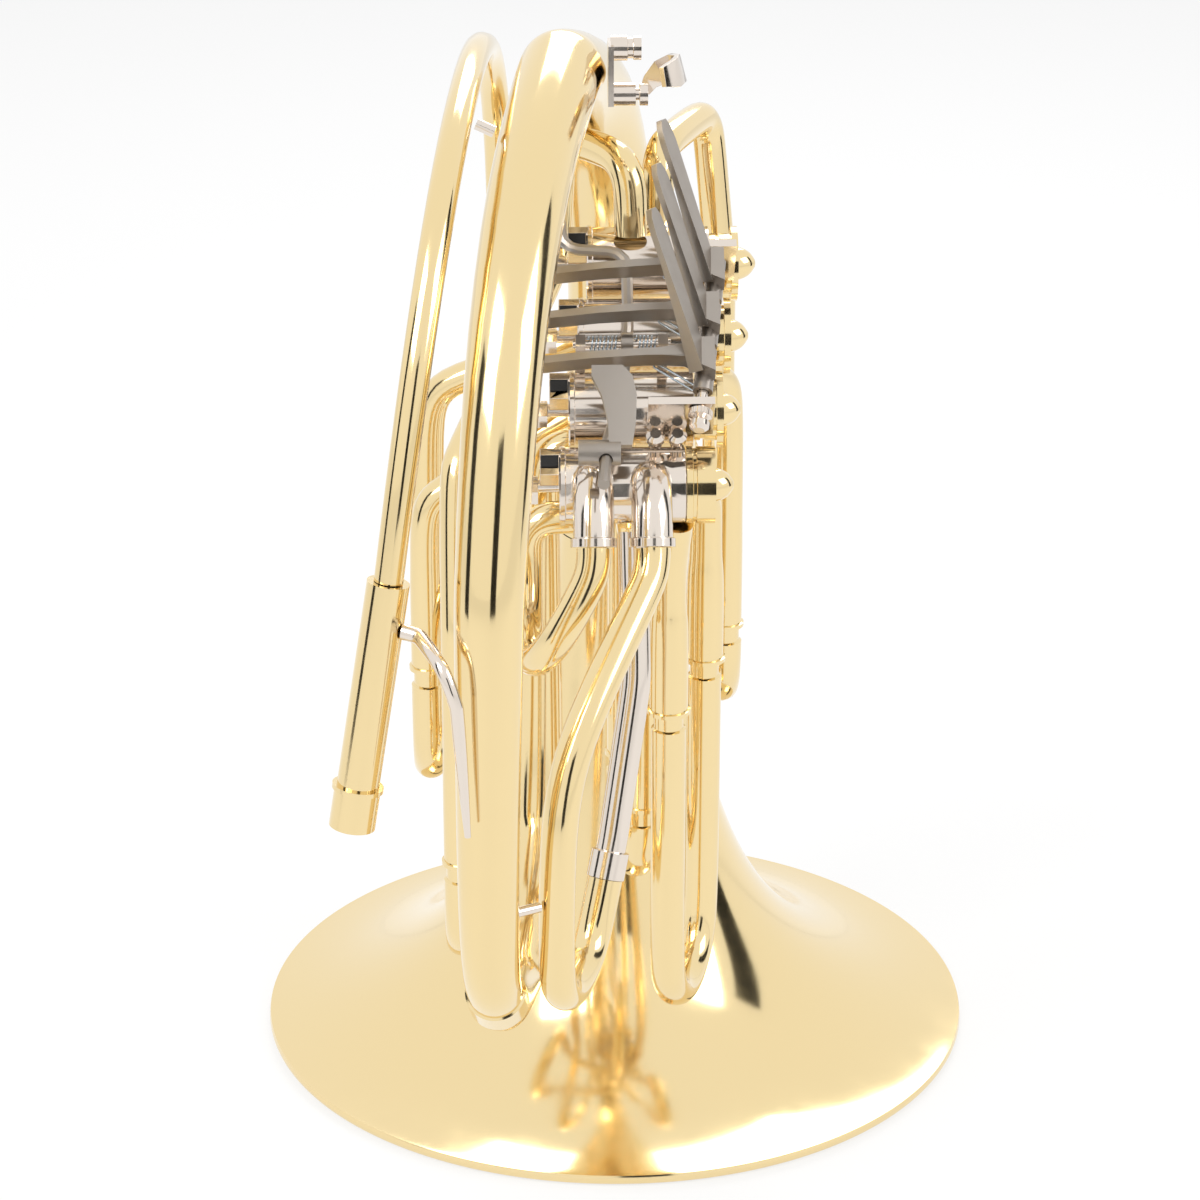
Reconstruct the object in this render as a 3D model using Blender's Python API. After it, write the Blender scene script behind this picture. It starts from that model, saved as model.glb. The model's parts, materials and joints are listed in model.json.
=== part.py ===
"""Solids of a double french horn that stands on its bell.

Frame: +Z up, +X to the valve caps, -Y to the player. Pieces are laid out from the
centre of the bell mouth, and centre_depth then puts the middle of the object's depth at the origin.
Lengths are metres; MM turns a size in millimetres into metres.
"""

import math

import bmesh
import bpy
from mathutils import Matrix, Quaternion, Vector

MM = 0.001

# Clearances
GAP = 0.3 * MM
LINK_GAP = 0.4 * MM
LEG_GAP = 0.45 * MM

# Facets
TUBE_SIDES = 10
TAIL_SIDES = 20
TURNED_SIDES = 20
BELL_SIDES = 48
SMALL_SIDES = 10
ARC_STEP = math.radians(30)

# Bell flare, a power law of the height above the mouth
BELL_MOUTH_RADIUS = 155.0 * MM
BELL_BEAD_RADIUS = 2.4 * MM
BELL_FLARE_OFFSET = 33.0 * MM
BELL_FLARE_POWER = 0.85
BELL_WALL = 1.0 * MM
BELL_LENGTH = 230.0 * MM
BELL_RINGS = 10

# Main loop, from the bell's throat over the top and down the near side
LOOP_TOP = 463.0 * MM
LOOP_NEAR_Y = -300.0 * MM
LOOP_RADIUS = 148.0 * MM
LOOP_BOTTOM = 134.0 * MM
LOOP_TURN_RADIUS = 72.0 * MM
LOOP_SPIRAL = 54.0 * MM
BRANCH_Y = -152.0 * MM
BRANCH_X = -33.0 * MM
TAIL_TOP_RADIUS = 15.6 * MM
TAIL_NEAR_RADIUS = 12.2 * MM
TAIL_END_RADIUS = 10.3 * MM
TAIL_SHARE_OF_TURN = 0.55
BRANCH_END_RADIUS = 7.0 * MM
FERRULE_RAISE = 0.9 * MM
FERRULE_LENGTH = 12.0 * MM

# Cylindrical tubing
TUBE_RADIUS = 6.7 * MM
INNER_LEG_RADIUS = 6.0 * MM
SLEEVE_RADIUS = 7.0 * MM
WIDE_SLEEVE_RADIUS = 7.8 * MM
BEAD_RAISE = 0.9 * MM
BEAD_LENGTH = 1.6 * MM
SLEEVE_DEPTH = 34.0 * MM
LEG_DEPTH = 32.0 * MM

# Leadpipe and receiver
LEAD_START_RADIUS = 5.4 * MM
LEAD_END_RADIUS = 6.2 * MM
RECEIVER_TOP = Vector((-85.0, -290.0, 322.0)) * MM
RECEIVER_MOUTH = Vector((-99.5, -295.0, 233.0)) * MM
RECEIVER_RADIUS = 7.5 * MM
RECEIVER_END_RADIUS = 8.2 * MM
RECEIVER_BORE_RADIUS = 6.2 * MM
RECEIVER_BORE_DEPTH = 55.0 * MM
RECEIVER_RING_FROM_MOUTH = 14.0 * MM
LEAD_TOP = 467.0 * MM

# Valve row: the lowest valve's centre, the row's lean away from the player, and the pitch
ROW_START = Vector((0.0, -190.0, 319.0)) * MM
ROW_LEAN = math.radians(49)
VALVE_PITCH = 31.7 * MM
VALVE_STAGGER = 3.8 * MM
VALVES = ("first", "second", "third", "change")
CASING_RADIUS = 14.0 * MM
CASING_LEFT = -26.0 * MM
CASING_RIGHT = 20.0 * MM
SPINDLE_RADIUS = 2.4 * MM
SPINDLE_DEPTH = 6.0 * MM
PLATE_RAISE = 0.6 * MM
PLATE_THICKNESS = 2.2 * MM

# Valve caps
CAP_RADIUS = 14.4 * MM
CAP_NECK_RADIUS = 11.6 * MM
CAP_LENGTH = 10.5 * MM
CAP_DISC = 2.4 * MM
CAP_GROOVE = 0.7 * MM
DOME_RADIUS = 6.4 * MM

# Cork stops on the bearing plates
HOLDER_LENGTH = 7.0 * MM
HOLDER_WIDTH = 11.0 * MM
HOLDER_HEIGHT = 8.0 * MM
HOLDER_ABOVE = 5.0 * MM
CORK_WIDTH = 4.6 * MM
CORK_HEIGHT = 4.4 * MM

# Rotor stop arms and links
HUB_RADIUS = 3.6 * MM
STOP_ARM_CLEAR = 0.8 * MM
STOP_ARM_THICK = 5.0 * MM
STOP_ARM_WIDE = 4.6 * MM
STOP_ARM_RADIUS = 10.0 * MM
STOP_PIN_RADIUS = 1.7 * MM
STOP_PIN_LENGTH = 2.2 * MM
STOP_REST_ANGLE = math.radians(40)
LINK_THICK = 2.0 * MM
LINK_WIDE = 4.4 * MM
LINK_HEAD_RADIUS = 2.6 * MM
LINK_HEAD = 1.0 * MM

# Finger levers and their hinge rod
HINGE_ACROSS = 25.0 * MM
HINGE_ABOVE = 33.0 * MM
HINGE_ROD_RADIUS = 1.9 * MM
BARREL_RADIUS = 3.6 * MM
BARREL_LENGTH = 17.4 * MM
LEVER_PITCH = 19.0 * MM
LEVER_FIRST = 32.0 * MM
ARM_THICK = 3.0 * MM
ARM_DEEP = 8.0 * MM
ARM_ABOVE = 38.0 * MM
ARM_DROOP = 3.0 * MM
ARM_SWEEP = 2.5 * MM
BLADE_RISE = 34.0 * MM
BLADE_ALONG = 46.0 * MM
BLADE_ACROSS = -19.0 * MM
BLADE_WIDTH = 10.0 * MM
BLADE_THICK = 2.2 * MM
BLADE_ROOT_THICK = 5.6 * MM
HAIRPIN_WIRE = 0.55 * MM
HAIRPIN_WIDTH = 2.6 * MM
HAIRPIN_REACH = 19.0 * MM

# Lever stand
STAND_PLATE = 3.0 * MM
STAND_START = 13.0 * MM
STAND_END = 79.5 * MM
STAND_FOOT_RADIUS = 2.6 * MM
KNOB_RADIUS = 4.2 * MM

# Thumb lever
THUMB_ALONG = 44.0 * MM
THUMB_ABOVE = 27.0 * MM
THUMB_ROD_RADIUS = 2.2 * MM
THUMB_HUB_RADIUS = 4.2 * MM
THUMB_HUB_LEFT = -3.0 * MM
THUMB_HUB_RIGHT = 1.4 * MM
THUMB_PIVOT_RADIUS = 1.6 * MM
THUMB_POST_LEFT = -16.0 * MM
THUMB_POST_RIGHT = 10.5 * MM
THUMB_POST_THICK = 3.6 * MM
THUMB_POST_WIDE = 5.0 * MM
CLAMP_RADIUS = 4.6 * MM
CLAMP_LENGTH = 15.0 * MM
PADDLE_THICK = 2.4 * MM

# Coil springs round the thumb pivot
COIL_RADIUS = 3.3 * MM
COIL_WIRE = 0.42 * MM
COIL_TURNS = {"left": 7.5, "right": 5.0}
COIL_POINTS = 9

# Slides: near and far leg centres, the height of the sleeves' mouths and of the bow
SLIDES = {
    "main": {"near": (-64, -190), "far": (-64, -140), "mouth": 166, "bow": 122, "wide": False},
    "f": {"near": (-77, -125), "far": (-77, -75), "mouth": 219, "bow": 168, "wide": False},
    "second": {"near": (15, -185), "far": (31, -135), "mouth": 226, "bow": 96, "wide": True},
    "third": {"near": (6, -163), "far": (0, -113), "mouth": 176, "bow": 142, "wide": False},
    "upper": {"near": (41, -100), "far": (40, -52), "mouth": 226, "bow": 190, "wide": False},
}
BOW_RADIUS = 7.1 * MM
BOW_SHOULDER = 6.0 * MM

# Little-finger hook
HOOK_PLATE = 2.0 * MM
HOOK_PLATE_WIDE = 14.0 * MM
HOOK_BAND = 2.0 * MM
HOOK_BAND_WIDE = 10.0 * MM
HOOK_BAND_SHARES = (0.4, 0.6, 0.9, 1.0, 1.0, 1.0, 0.7)
HOOK_STEM_RADIUS = 2.2 * MM
HOOK_BARREL_RADIUS = 4.2 * MM
HOOK_Y = -150.0 * MM

# Stays
STAY_RADIUS = 2.0 * MM
SADDLE_RADIUS = 2.2 * MM
BRACE_THICK = 5.0 * MM

X_AXIS = Vector((1.0, 0.0, 0.0))
ALONG = Vector((0.0, math.sin(ROW_LEAN), math.cos(ROW_LEAN)))
ABOVE = Vector((0.0, -math.cos(ROW_LEAN), math.sin(ROW_LEAN)))
ROW_AXIS = (X_AXIS * VALVE_STAGGER + ALONG * VALVE_PITCH).normalized()

MATERIALS = {
    "brass": ((0.83, 0.62, 0.27), 1.0, 0.18),
    "nickel": ((0.80, 0.74, 0.68), 1.0, 0.18),
    "lever": ((0.42, 0.38, 0.35), 1.0, 0.42),
    "steel": ((0.62, 0.68, 0.72), 1.0, 0.25),
    "cork": ((0.03, 0.03, 0.03), 0.0, 0.85),
}


# Frames and points


def at_mm(across, away, up):
    """World point given in millimetres."""
    return Vector((across, away, up)) * MM


def row(across, along, above):
    """World point from the valve row's own directions."""
    return ROW_START + X_AXIS * across + ALONG * along + ABOVE * above


def valve_shift(index):
    """Sideways step of a valve from the first one."""
    return VALVE_STAGGER * index


def valve_point(index, across, angle, radius):
    """Point beside a valve: angle is counted from below the row towards its upper end."""
    along = VALVE_PITCH * index + radius * math.sin(angle)
    return row(valve_shift(index) + across, along, -radius * math.cos(angle))


def port_entry(index, across, length):
    """Corner and end of a tube that meets a valve from below the row."""
    reach = CASING_RADIUS + GAP
    return [valve_point(index, across, 0.0, reach + length), valve_point(index, across, 0.0, reach)]


def top_port(index, across, away):
    """Lower end of a tube that stands on top of a valve."""
    centre = row(valve_shift(index) + across, VALVE_PITCH * index, 0)
    return centre + Vector((0.0, away, CASING_RADIUS + GAP))


def hinge_across(along):
    """Sideways place of the hinge rod at a distance along the row."""
    return HINGE_ACROSS + VALVE_STAGGER / VALVE_PITCH * (along - STAND_START)


def clean(points):
    """Points without doubles."""
    kept = [points[0]]
    for point in points[1:]:
        if (point - kept[-1]).length > 0.2 * MM:
            kept.append(point)
    return kept


def route(corners, bends):
    """Line through the corners, with each inner corner rounded to its bend radius."""
    points = [corners[0]]
    for before, corner, after, bend in zip(corners, corners[1:], corners[2:], bends):
        into = (corner - before).normalized()
        away = (after - corner).normalized()
        turn = into.angle(away)
        start = corner - into * bend * math.tan(turn / 2)
        axis = into.cross(away).normalized()
        centre = start + axis.cross(into) * bend
        steps = max(2, round(turn / ARC_STEP))
        for i in range(steps + 1):
            points.append(centre + Quaternion(axis, turn * i / steps) @ (start - centre))
    points.append(corners[-1])
    return clean(points)


def distances(points):
    """Distance along the line at each point."""
    total = [0.0]
    for a, b in zip(points, points[1:]):
        total.append(total[-1] + (b - a).length)
    return total


def cut_route(points, start, end):
    """Part of a line between two distances."""
    run = distances(points)
    inner = [p for p, d in zip(points, run) if start + 0.5 * MM < d < end - 0.5 * MM]
    return [point_on(points, start)] + inner + [point_on(points, end)]


def point_on(points, distance):
    """Point at a distance along a line."""
    run = distances(points)
    for i in range(len(points) - 1):
        if distance <= run[i + 1] or i == len(points) - 2:
            share = (distance - run[i]) / (run[i + 1] - run[i])
            return points[i].lerp(points[i + 1], share)
    return points[-1]


# Solids


def material(kind):
    """Material of a finish, made once."""
    found = bpy.data.materials.get(kind)
    if found:
        return found
    colour, metallic, roughness = MATERIALS[kind]
    made = bpy.data.materials.new(kind)
    made.use_nodes = True
    shader = made.node_tree.nodes["Principled BSDF"]
    shader.inputs["Base Color"].default_value = (*colour, 1.0)
    shader.inputs["Metallic"].default_value = metallic
    shader.inputs["Roughness"].default_value = roughness
    return made


def solid(name, verts, faces, kind):
    """Closed mesh object with outward normals."""
    mesh = bpy.data.meshes.new(name)
    mesh.from_pydata([tuple(v) for v in verts], [], faces)
    work = bmesh.new()
    work.from_mesh(mesh)
    bmesh.ops.recalc_face_normals(work, faces=work.faces)
    for face in work.faces:
        face.smooth = len(face.verts) == 4
    work.to_mesh(mesh)
    work.free()
    mesh.materials.append(material(kind))
    made = bpy.data.objects.new(name, mesh)
    bpy.context.scene.collection.objects.link(made)
    return made


def skin(rings, closed):
    """Vertices and faces over a run of rings; closed joins the last ring to the first."""
    sides = len(rings[0])
    verts = [v for ring in rings for v in ring]
    faces = []
    pairs = len(rings) if closed else len(rings) - 1
    for i in range(pairs):
        a = i * sides
        b = (i + 1) % len(rings) * sides
        for k in range(sides):
            n = (k + 1) % sides
            faces.append((a + k, a + n, b + n, b + k))
    if not closed:
        faces.append(tuple(range(sides)))
        faces.append(tuple(range(len(verts) - sides, len(verts))))
    return verts, faces


def circle(centre, axis, up, radius, sides):
    """Ring of points about an axis."""
    side = axis.cross(up)
    ring = []
    for k in range(sides):
        angle = 2 * math.pi * k / sides
        ring.append(centre + (up * math.cos(angle) + side * math.sin(angle)) * radius)
    return ring


def square_to(axis):
    """Unit direction square to an axis."""
    guide = Vector((0.0, 0.0, 1.0)) if abs(axis.z) < 0.9 else Vector((0.0, 1.0, 0.0))
    return (guide - axis * guide.dot(axis)).normalized()


def turned(name, base, axis, profile, kind, sides=TURNED_SIDES, closed=False):
    """Turned solid: the profile holds pairs of distance along the axis and radius."""
    axis = axis.normalized()
    up = square_to(axis)
    rings = [circle(base + axis * along, axis, up, radius, sides) for along, radius in profile]
    return solid(name, *skin(rings, closed), kind)


def rod(name, start, end, radius, kind, sides=SMALL_SIDES):
    """Plain round bar between two points."""
    span = end - start
    return turned(name, start, span, [(0, radius), (span.length, radius)], kind, sides)


def segment_frames(points):
    """Direction and carried side direction of each stretch of a line."""
    spans = [(b - a).normalized() for a, b in zip(points, points[1:])]
    ups = [square_to(spans[0])]
    for a, b in zip(spans, spans[1:]):
        ups.append((a.rotation_difference(b) @ ups[-1]).normalized())
    return spans, ups


def ring_on(points, frames, distance, radius, sides):
    """Ring square to a line at a distance along it."""
    run = distances(points)
    spans, ups = frames
    for i, span in enumerate(spans):
        if distance <= run[i + 1] + 1e-7 or i == len(spans) - 1:
            break
    centre = points[i] + spans[i] * (distance - run[i])
    direction = spans[i]
    if abs(distance - run[i + 1]) < 1e-6 and i + 1 < len(spans):
        direction = (spans[i] + spans[i + 1]).normalized()
    up = (spans[i].rotation_difference(direction) @ ups[i]).normalized()
    return circle(centre, direction, up, radius, sides)


def radius_at(stations, distance):
    """Radius between stations, each a distance and a radius."""
    for (d0, r0), (d1, r1) in zip(stations, stations[1:]):
        if distance <= d1:
            return r0 + (r1 - r0) * (distance - d0) / (d1 - d0) if d1 > d0 else r1
    return stations[-1][1]


def swept(name, points, stations, kind, sides=TUBE_SIDES, bore_start=None, bore_end=None):
    """Round tube along a line; a bore is a radius and a depth from that end."""
    frames = segment_frames(points)
    run = distances(points)
    length = run[-1]
    inner = [s for s in stations if 0 < s[0] < length]
    stations = [(0.0, stations[0][1])] + inner + [(length, stations[-1][1])]
    fixed = [d for d, _ in stations]
    free = [d for d in run[1:-1] if min(abs(d - f) for f in fixed) > 0.4 * MM]
    rings = [(d, r) for d, r in stations] + [(d, radius_at(stations, d)) for d in free]
    rings.sort(key=lambda ring: ring[0])
    if bore_start:
        rings = [(bore_start[1], bore_start[0]), (0.0, bore_start[0])] + rings
    if bore_end:
        rings += [(length, bore_end[0]), (length - bore_end[1], bore_end[0])]
    loops = [ring_on(points, frames, d, r, sides) for d, r in rings]
    return solid(name, *skin(loops, False), kind)


def block(name, centre, size, kind, directions=None):
    """Box about a centre; directions are its own three axes."""
    axes = directions or (X_AXIS, Vector((0.0, 1.0, 0.0)), Vector((0.0, 0.0, 1.0)))
    half = [axis * extent / 2 for axis, extent in zip(axes, size)]
    lower = [centre - half[2] + half[0] * a + half[1] * b for a, b in ((-1, -1), (1, -1), (1, 1), (-1, 1))]
    upper = [v + half[2] * 2 for v in lower]
    return solid(name, *skin([lower, upper], False), kind)


def loft(name, sections, kind):
    """Solid through a run of outlines with the same number of points."""
    return solid(name, *skin(sections, False), kind)


def bar_section(centre, wide_axis, width, thick_axis, thickness):
    """Four corners of a flat bar's section."""
    w = wide_axis * width / 2
    t = thick_axis * thickness / 2
    return [centre - w - t, centre + w - t, centre + w + t, centre - w + t]


def boolean(body, tools, operation):
    """Apply a Boolean with each tool and remove the tools."""
    for tool in tools:
        cut = body.modifiers.new("boolean", "BOOLEAN")
        cut.operation = operation
        cut.solver = "EXACT"
        cut.object = tool
        graph = bpy.context.evaluated_depsgraph_get()
        result = bpy.data.meshes.new_from_object(body.evaluated_get(graph))
        body.modifiers.clear()
        old = body.data
        body.data = result
        bpy.data.meshes.remove(old)
        bpy.data.objects.remove(tool)
    tidy(body)
    return body


def tidy(body):
    """Merge doubled points and drop slivers left by a Boolean."""
    work = bmesh.new()
    work.from_mesh(body.data)
    bmesh.ops.remove_doubles(work, verts=work.verts, dist=0.00002)
    bmesh.ops.dissolve_degenerate(work, edges=work.edges, dist=0.00001)
    bmesh.ops.recalc_face_normals(work, faces=work.faces)
    work.to_mesh(body.data)
    work.free()


def fuse(body, *tools):
    """Union."""
    return boolean(body, tools, "UNION")


def carve(body, *tools):
    """Difference."""
    return boolean(body, tools, "DIFFERENCE")


# Bell and main loop


def bell_radius(height):
    """Outer radius of the bell at a height above the mouth."""
    scale = BELL_MOUTH_RADIUS * BELL_FLARE_OFFSET**BELL_FLARE_POWER
    return scale / (height + BELL_FLARE_OFFSET) ** BELL_FLARE_POWER


def make_bell():
    """Flare with a rolled bead, flat underneath, open through."""
    bead = BELL_BEAD_RADIUS
    heights = [bead + (BELL_LENGTH - bead) * (i / BELL_RINGS) ** 2.2 for i in range(BELL_RINGS + 1)]
    outside = [(h, bell_radius(h - bead) - bead) for h in heights]
    inside = [(h, bell_radius(h - bead) - bead - BELL_WALL) for h in heights]
    rim = BELL_MOUTH_RADIUS
    roll = [(bead * 2, rim - bead * 1.4), (bead * 1.9, rim - bead * 0.3)]
    roll += [(bead, rim), (bead * 0.3, rim - bead * 0.3)]
    foot = [(0.0, rim - bead * 0.7), (0.0, rim - bead * 1.6), (bead * 0.4, rim - bead * 2.2)]
    profile = outside[:1:-1] + roll + foot + inside[1:]
    turned("bell", Vector(), Vector((0.0, 0.0, 1.0)), profile, "brass", BELL_SIDES, closed=True)


def loop_route():
    """Centre line from the throat to the end of the first branch."""
    drift = LOOP_SPIRAL
    corners = [
        Vector((0.0, 0.0, BELL_LENGTH + GAP)),
        Vector((0.0, 0.0, LOOP_TOP)),
        Vector((-0.9 * drift, LOOP_NEAR_Y, LOOP_TOP)),
        Vector((-drift, LOOP_NEAR_Y, LOOP_BOTTOM)),
        Vector((BRANCH_X, BRANCH_Y, LOOP_BOTTOM)),
    ]
    port = port_entry(1, CASING_LEFT + 12.0 * MM, 13.0 * MM)
    corners += [Vector((BRANCH_X, port[0].y, port[0].z))] + port
    bends = [LOOP_RADIUS, LOOP_RADIUS, LOOP_TURN_RADIUS, LOOP_TURN_RADIUS, 12.0 * MM, 9.0 * MM]
    return route(corners, bends)


def branch_start():
    """Distance along the loop where the tail ends and the first branch starts."""
    straight = LOOP_TOP - BELL_LENGTH - LOOP_RADIUS
    over_top = abs(LOOP_NEAR_Y) - 2 * LOOP_RADIUS
    near_side = LOOP_TOP - LOOP_BOTTOM - LOOP_RADIUS - LOOP_TURN_RADIUS
    last_turn = TAIL_SHARE_OF_TURN * LOOP_TURN_RADIUS * 1.6
    return straight + over_top + near_side + math.pi * LOOP_RADIUS + last_turn


def tail_throat_radius():
    """Radius where the tail meets the bell."""
    return bell_radius(BELL_LENGTH - BELL_BEAD_RADIUS) - BELL_BEAD_RADIUS


def make_tail():
    """Bell tail: it narrows from the throat to the ferrule."""
    end = branch_start()
    line = cut_route(loop_route(), 0.0, end)
    straight = LOOP_TOP - BELL_LENGTH - LOOP_RADIUS
    top = straight + math.pi / 2 * LOOP_RADIUS
    stations = [
        (0.0, tail_throat_radius()),
        (straight, tail_throat_radius() * 0.42 + TAIL_TOP_RADIUS * 0.58),
        (top, TAIL_TOP_RADIUS),
        (straight + math.pi * LOOP_RADIUS, TAIL_NEAR_RADIUS),
        (end - FERRULE_LENGTH, TAIL_END_RADIUS),
        (end - FERRULE_LENGTH + 0.4 * MM, TAIL_END_RADIUS + FERRULE_RAISE),
        (end, TAIL_END_RADIUS + FERRULE_RAISE),
    ]
    swept("bell_tail", line, stations, "brass", TAIL_SIDES)


def make_branch():
    """First branch: from the ferrule round the bottom and up to the second valve."""
    whole = loop_route()
    start = branch_start() + GAP
    line = cut_route(whole, start, distances(whole)[-1])
    length = distances(line)[-1]
    stations = [(0.0, TAIL_END_RADIUS), (length * 0.4, TAIL_END_RADIUS * 0.92), (length, BRANCH_END_RADIUS)]
    swept("first_branch", line, stations, "brass", 16)


# Leadpipe and receiver


def lead_route():
    """Centre line of the leadpipe, down to the far leg of the main slide."""
    far = slide_leg("main", "far")
    corners = [
        RECEIVER_TOP + (RECEIVER_TOP - RECEIVER_MOUTH).normalized() * GAP,
        Vector((-65.0 * MM, -281.0 * MM, LEAD_TOP)),
        Vector((-47.0 * MM, -14.0 * MM, LEAD_TOP)),
        at_mm(-47, -14, 250),
        Vector((far.x, far.y, 250.0 * MM)),
        far,
    ]
    return route(corners, [110 * MM, 105 * MM, 30 * MM, 24 * MM])


def make_leadpipe():
    """Tapered pipe with the far sleeve of the main slide at its end."""
    line = lead_route()
    length = distances(line)[-1]
    stations = [(0.0, LEAD_START_RADIUS), (length * 0.8, LEAD_END_RADIUS)]
    stations += sleeve_stations(length, SLEEVE_RADIUS, LEAD_END_RADIUS)
    swept("leadpipe", line, stations, "brass", bore_end=(leg_bore(), SLEEVE_DEPTH))


def make_receiver():
    """Sleeve that takes the mouthpiece."""
    axis = RECEIVER_TOP - RECEIVER_MOUTH
    ring = RECEIVER_RING_FROM_MOUTH
    profile = [
        (RECEIVER_BORE_DEPTH, RECEIVER_BORE_RADIUS * 0.8),
        (0.0, RECEIVER_BORE_RADIUS),
        (0.0, RECEIVER_END_RADIUS),
        (ring, RECEIVER_END_RADIUS),
        (ring, RECEIVER_END_RADIUS + BEAD_RAISE),
        (ring + BEAD_LENGTH, RECEIVER_END_RADIUS + BEAD_RAISE),
        (ring + BEAD_LENGTH, RECEIVER_RADIUS),
        (axis.length, RECEIVER_RADIUS),
    ]
    turned("receiver", RECEIVER_MOUTH, axis, profile, "brass", 20)


def make_receiver_brace():
    """Polished bar between the receiver and the near side of the tail."""
    out = RECEIVER_RADIUS + GAP
    axis = (RECEIVER_TOP - RECEIVER_MOUTH).normalized()
    seat = RECEIVER_TOP - axis * 16.0 * MM
    away = (Vector((1.0, -0.35, 0.0)) - axis * axis.dot(Vector((1.0, -0.35, 0.0)))).normalized()
    front = LOOP_NEAR_Y - TAIL_NEAR_RADIUS - GAP - BRACE_THICK / 2
    left = -LOOP_SPIRAL - 8.0 * MM
    line = route(
        [
            seat + away * out,
            seat + away * (out + 6.0 * MM),
            Vector((left - 4.0 * MM, front, 300.0 * MM)),
            Vector((left, front, 286.0 * MM)),
            Vector((left + 3.0 * MM, front, 238.0 * MM)),
        ],
        [5.0 * MM, 9.0 * MM, 9.0 * MM],
    )
    length = distances(line)[-1]
    stations = [(0.0, 3.0 * MM), (length * 0.3, 2.6 * MM)]
    stations += [(length * 0.65, BRACE_THICK / 2), (length, 1.2 * MM)]
    swept("receiver_brace", line, stations, "nickel", SMALL_SIDES)


def make_saddle():
    """Soldered seat between the leadpipe and the tail at the top of the arch."""
    lead = point_near(lead_route(), Vector((-58.0 * MM, -205.0 * MM, LOOP_TOP)))
    tail = point_near(loop_route(), lead)
    span = (tail - lead).normalized()
    start = lead + span * (LEAD_END_RADIUS + 2 * GAP)
    end = tail - span * (TAIL_TOP_RADIUS + GAP)
    rod("leadpipe_saddle", start, end, SADDLE_RADIUS, "nickel")


def point_near(points, target):
    """Point of a line nearest to a target."""
    steps = 200
    length = distances(points)[-1]
    found = [point_on(points, length * i / steps) for i in range(steps + 1)]
    return min(found, key=lambda p: (p - target).length)


# Slides and their sleeves


def slide_leg(slide, leg):
    """Mouth of a sleeve."""
    x, y = SLIDES[slide][leg]
    return at_mm(x, y, SLIDES[slide]["mouth"])


def leg_bore():
    """Bore of a sleeve that takes an inner leg."""
    return INNER_LEG_RADIUS + LEG_GAP


def sleeve_stations(length, radius, pipe):
    """Stations of a sleeve with a bead at its mouth, at the end of a pipe."""
    start = length - SLEEVE_DEPTH - 6.0 * MM
    bead = length - BEAD_LENGTH
    return [
        (start, pipe),
        (start + 1.0 * MM, radius),
        (bead - 0.2 * MM, radius),
        (bead, radius + BEAD_RAISE),
        (length, radius + BEAD_RAISE),
    ]


def make_sleeve(name, corners, bends, slide, leg):
    """Tube from a valve that ends in a sleeve for a slide's inner leg."""
    radius = WIDE_SLEEVE_RADIUS if SLIDES[slide]["wide"] else SLEEVE_RADIUS
    line = route(corners + [slide_leg(slide, leg)], bends)
    length = distances(line)[-1]
    stations = [(0.0, TUBE_RADIUS)] + sleeve_stations(length, radius, TUBE_RADIUS)
    swept(name, line, stations, "brass", bore_end=(leg_bore(), SLEEVE_DEPTH))


def make_bow(slide):
    """Slide: two inner legs and the bow between them."""
    near = slide_leg(slide, "near")
    far = slide_leg(slide, "far")
    low = SLIDES[slide]["bow"] * MM
    half = (near - far).length / 2
    up = Vector((0.0, 0.0, LEG_DEPTH))
    corners = [near + up, Vector((near.x, near.y, low)), Vector((far.x, far.y, low)), far + up]
    line = route(corners, [half - 0.1 * MM, half - 0.1 * MM])
    length = distances(line)[-1]
    inside = LEG_DEPTH + BOW_SHOULDER
    stations = [(0.0, INNER_LEG_RADIUS), (inside, INNER_LEG_RADIUS), (inside + 0.6 * MM, BOW_RADIUS)]
    stations += [(length - inside - 0.6 * MM, BOW_RADIUS)]
    stations += [(length - inside, INNER_LEG_RADIUS), (length, INNER_LEG_RADIUS)]
    swept("slide_" + slide, line, stations, "brass")


def below(slide, leg, height):
    """Point straight above a sleeve's mouth, at a height in millimetres."""
    x, y = SLIDES[slide][leg]
    return at_mm(x, y, height)


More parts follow.
